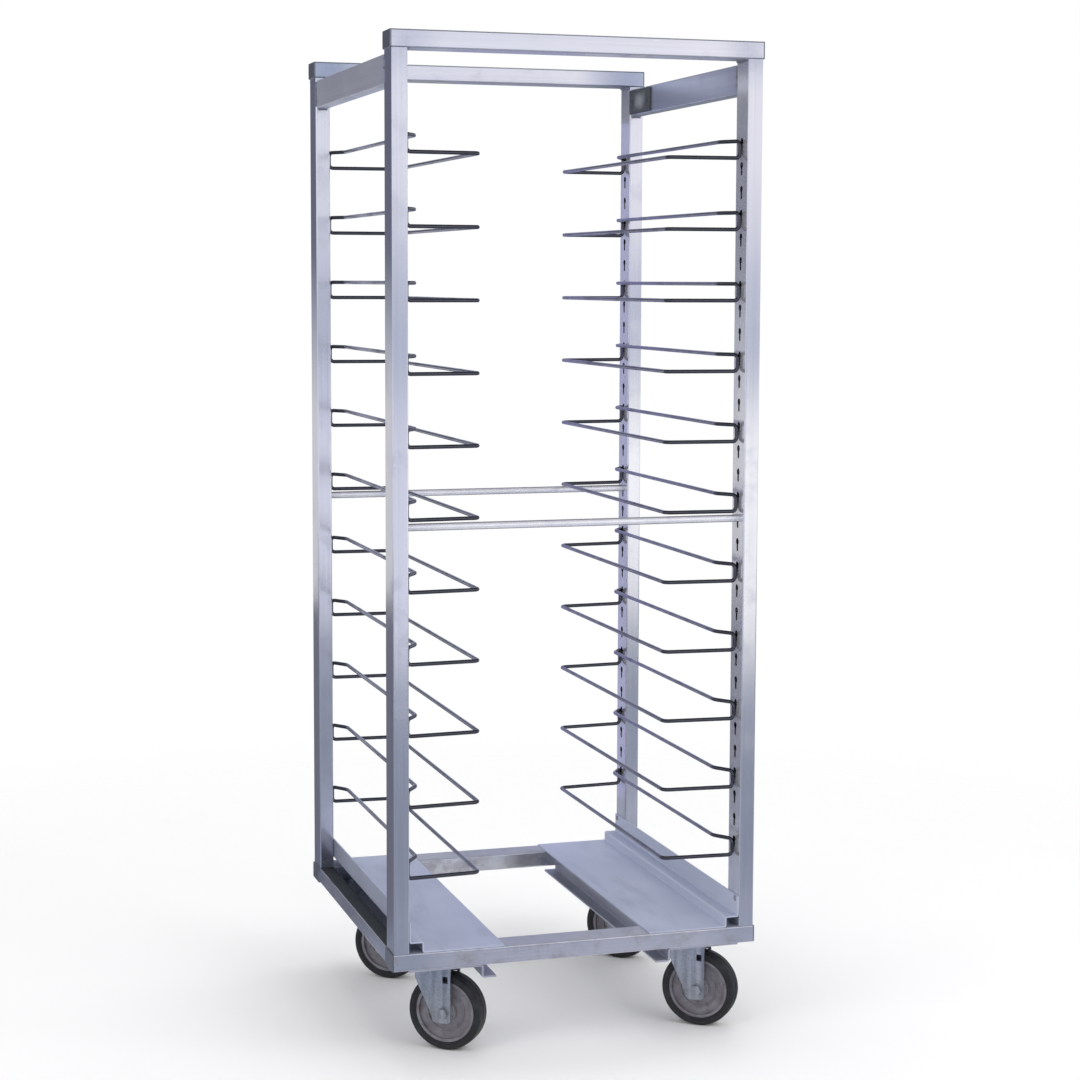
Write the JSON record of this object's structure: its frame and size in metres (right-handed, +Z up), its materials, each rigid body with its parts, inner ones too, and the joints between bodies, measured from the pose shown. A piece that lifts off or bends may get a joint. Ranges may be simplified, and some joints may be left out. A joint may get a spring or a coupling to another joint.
{
  "type": "roll-in pan rack",
  "caption": "Tall open pan rack: aluminium tube frame on swivel casters, with pairs of wire slides hooked into keyhole posts above two folded floor pans.",
  "frame": {"origin": "on the floor, under the middle of the rack", "axes": "+Z up, -Y to the front, where pans roll in, +X to the right-hand side seen from the front"},
  "size_m": [0.615, 0.622, 1.63],
  "materials": {
    "frame_aluminium": "brushed satin",
    "sheet_aluminium": "mill satin",
    "cap_plastic": "satin grey",
    "bracket_paint": "dark satin paint",
    "rivet_aluminium": "dull",
    "rod_steel": "bright plated",
    "slide_chrome": "bright plated wire",
    "caster_zinc": "zinc plated, satin",
    "fastener_zinc": "zinc plated",
    "hub_plastic": "moulded grey plastic",
    "tyre_rubber": "matte black rubber"
  },
  "bodies": {
    "frame": {"post_front_left": "frame_aluminium", "post_front_right": "frame_aluminium", "post_rear_left": "frame_aluminium", "post_rear_right": "frame_aluminium", "top_rail_front": "frame_aluminium", "top_rail_rear": "frame_aluminium", "top_rail_left": "frame_aluminium", "top_rail_right": "frame_aluminium", "base_rail_front": "frame_aluminium", "base_rail_rear": "frame_aluminium", "base_rail_left": "frame_aluminium", "base_rail_right": "frame_aluminium", "floor_pan_left": "sheet_aluminium", "floor_pan_right": "sheet_aluminium", "caster_channel_left": "sheet_aluminium", "caster_channel_right": "sheet_aluminium", "rail_end_caps": "cap_plastic", "top_rail_brackets": "bracket_paint", "rivets": "rivet_aluminium", "cross_rods": "rod_steel", "caster_swivel_heads": "caster_zinc", "caster_plate_bolts": "fastener_zinc"},
    "slide_left_01": {"slide_left_01": "slide_chrome"},
    "slide_left_02": {"slide_left_02": "slide_chrome"},
    "slide_left_03": {"slide_left_03": "slide_chrome"},
    "slide_left_04": {"slide_left_04": "slide_chrome"},
    "slide_left_05": {"slide_left_05": "slide_chrome"},
    "slide_left_06": {"slide_left_06": "slide_chrome"},
    "slide_left_07": {"slide_left_07": "slide_chrome"},
    "slide_left_08": {"slide_left_08": "slide_chrome"},
    "slide_left_09": {"slide_left_09": "slide_chrome"},
    "slide_left_10": {"slide_left_10": "slide_chrome"},
    "slide_left_11": {"slide_left_11": "slide_chrome"},
    "slide_right_01": {"slide_right_01": "slide_chrome"},
    "slide_right_02": {"slide_right_02": "slide_chrome"},
    "slide_right_03": {"slide_right_03": "slide_chrome"},
    "slide_right_04": {"slide_right_04": "slide_chrome"},
    "slide_right_05": {"slide_right_05": "slide_chrome"},
    "slide_right_06": {"slide_right_06": "slide_chrome"},
    "slide_right_07": {"slide_right_07": "slide_chrome"},
    "slide_right_08": {"slide_right_08": "slide_chrome"},
    "slide_right_09": {"slide_right_09": "slide_chrome"},
    "slide_right_10": {"slide_right_10": "slide_chrome"},
    "slide_right_11": {"slide_right_11": "slide_chrome"},
    "caster_fork_front_left": {"caster_fork_front_left": "caster_zinc", "caster_axle_front_left": "fastener_zinc"},
    "caster_wheel_front_left": {"caster_hub_front_left": "hub_plastic", "caster_tyre_front_left": "tyre_rubber"},
    "caster_fork_front_right": {"caster_fork_front_right": "caster_zinc", "caster_axle_front_right": "fastener_zinc"},
    "caster_wheel_front_right": {"caster_hub_front_right": "hub_plastic", "caster_tyre_front_right": "tyre_rubber"},
    "caster_fork_rear_left": {"caster_fork_rear_left": "caster_zinc", "caster_axle_rear_left": "fastener_zinc"},
    "caster_wheel_rear_left": {"caster_hub_rear_left": "hub_plastic", "caster_tyre_rear_left": "tyre_rubber"},
    "caster_fork_rear_right": {"caster_fork_rear_right": "caster_zinc", "caster_axle_rear_right": "fastener_zinc"},
    "caster_wheel_rear_right": {"caster_hub_rear_right": "hub_plastic", "caster_tyre_rear_right": "tyre_rubber"}
  },
  "joints": [
    {"name": "slide_left_01_lift", "type": "slide", "parent": "frame", "child": "slide_left_01", "axis": [0, 0, 1], "range_m": [0, 0.013]},
    {"name": "slide_left_02_lift", "type": "slide", "parent": "frame", "child": "slide_left_02", "axis": [0, 0, 1], "range_m": [0, 0.013]},
    {"name": "slide_left_03_lift", "type": "slide", "parent": "frame", "child": "slide_left_03", "axis": [0, 0, 1], "range_m": [0, 0.013]},
    {"name": "slide_left_04_lift", "type": "slide", "parent": "frame", "child": "slide_left_04", "axis": [0, 0, 1], "range_m": [0, 0.013]},
    {"name": "slide_left_05_lift", "type": "slide", "parent": "frame", "child": "slide_left_05", "axis": [0, 0, 1], "range_m": [0, 0.013]},
    {"name": "slide_left_06_lift", "type": "slide", "parent": "frame", "child": "slide_left_06", "axis": [0, 0, 1], "range_m": [0, 0.013]},
    {"name": "slide_left_07_lift", "type": "slide", "parent": "frame", "child": "slide_left_07", "axis": [0, 0, 1], "range_m": [0, 0.013]},
    {"name": "slide_left_08_lift", "type": "slide", "parent": "frame", "child": "slide_left_08", "axis": [0, 0, 1], "range_m": [0, 0.013]},
    {"name": "slide_left_09_lift", "type": "slide", "parent": "frame", "child": "slide_left_09", "axis": [0, 0, 1], "range_m": [0, 0.013]},
    {"name": "slide_left_10_lift", "type": "slide", "parent": "frame", "child": "slide_left_10", "axis": [0, 0, 1], "range_m": [0, 0.013]},
    {"name": "slide_left_11_lift", "type": "slide", "parent": "frame", "child": "slide_left_11", "axis": [0, 0, 1], "range_m": [0, 0.013]},
    {"name": "slide_right_01_lift", "type": "slide", "parent": "frame", "child": "slide_right_01", "axis": [0, 0, 1], "range_m": [0, 0.013]},
    {"name": "slide_right_02_lift", "type": "slide", "parent": "frame", "child": "slide_right_02", "axis": [0, 0, 1], "range_m": [0, 0.013]},
    {"name": "slide_right_03_lift", "type": "slide", "parent": "frame", "child": "slide_right_03", "axis": [0, 0, 1], "range_m": [0, 0.013]},
    {"name": "slide_right_04_lift", "type": "slide", "parent": "frame", "child": "slide_right_04", "axis": [0, 0, 1], "range_m": [0, 0.013]},
    {"name": "slide_right_05_lift", "type": "slide", "parent": "frame", "child": "slide_right_05", "axis": [0, 0, 1], "range_m": [0, 0.013]},
    {"name": "slide_right_06_lift", "type": "slide", "parent": "frame", "child": "slide_right_06", "axis": [0, 0, 1], "range_m": [0, 0.013]},
    {"name": "slide_right_07_lift", "type": "slide", "parent": "frame", "child": "slide_right_07", "axis": [0, 0, 1], "range_m": [0, 0.013]},
    {"name": "slide_right_08_lift", "type": "slide", "parent": "frame", "child": "slide_right_08", "axis": [0, 0, 1], "range_m": [0, 0.013]},
    {"name": "slide_right_09_lift", "type": "slide", "parent": "frame", "child": "slide_right_09", "axis": [0, 0, 1], "range_m": [0, 0.013]},
    {"name": "slide_right_10_lift", "type": "slide", "parent": "frame", "child": "slide_right_10", "axis": [0, 0, 1], "range_m": [0, 0.013]},
    {"name": "slide_right_11_lift", "type": "slide", "parent": "frame", "child": "slide_right_11", "axis": [0, 0, 1], "range_m": [0, 0.013]},
    {"name": "caster_swivel_front_left", "type": "hinge", "parent": "frame", "child": "caster_fork_front_left", "pos_m": [-0.22, -0.203, 0.14], "axis": [0, 0, 1], "continuous": true},
    {"name": "caster_roll_front_left", "type": "hinge", "parent": "caster_fork_front_left", "child": "caster_wheel_front_left", "pos_m": [-0.19365, -0.22286, 0.0635], "axis": [0.6018, 0.7986, 0], "continuous": true},
    {"name": "caster_swivel_front_right", "type": "hinge", "parent": "frame", "child": "caster_fork_front_right", "pos_m": [0.22, -0.203, 0.14], "axis": [0, 0, 1], "continuous": true},
    {"name": "caster_roll_front_right", "type": "hinge", "parent": "caster_fork_front_right", "child": "caster_wheel_front_right", "pos_m": [0.24635, -0.22286, 0.0635], "axis": [0.6018, 0.7986, 0], "continuous": true},
    {"name": "caster_swivel_rear_left", "type": "hinge", "parent": "frame", "child": "caster_fork_rear_left", "pos_m": [-0.22, 0.203, 0.14], "axis": [0, 0, 1], "continuous": true},
    {"name": "caster_roll_rear_left", "type": "hinge", "parent": "caster_fork_rear_left", "child": "caster_wheel_rear_left", "pos_m": [-0.19365, 0.18314, 0.0635], "axis": [0.6018, 0.7986, 0], "continuous": true},
    {"name": "caster_swivel_rear_right", "type": "hinge", "parent": "frame", "child": "caster_fork_rear_right", "pos_m": [0.22, 0.203, 0.14], "axis": [0, 0, 1], "continuous": true},
    {"name": "caster_roll_rear_right", "type": "hinge", "parent": "caster_fork_rear_right", "child": "caster_wheel_rear_right", "pos_m": [0.24635, 0.18314, 0.0635], "axis": [0.6018, 0.7986, 0], "continuous": true}
  ]
}
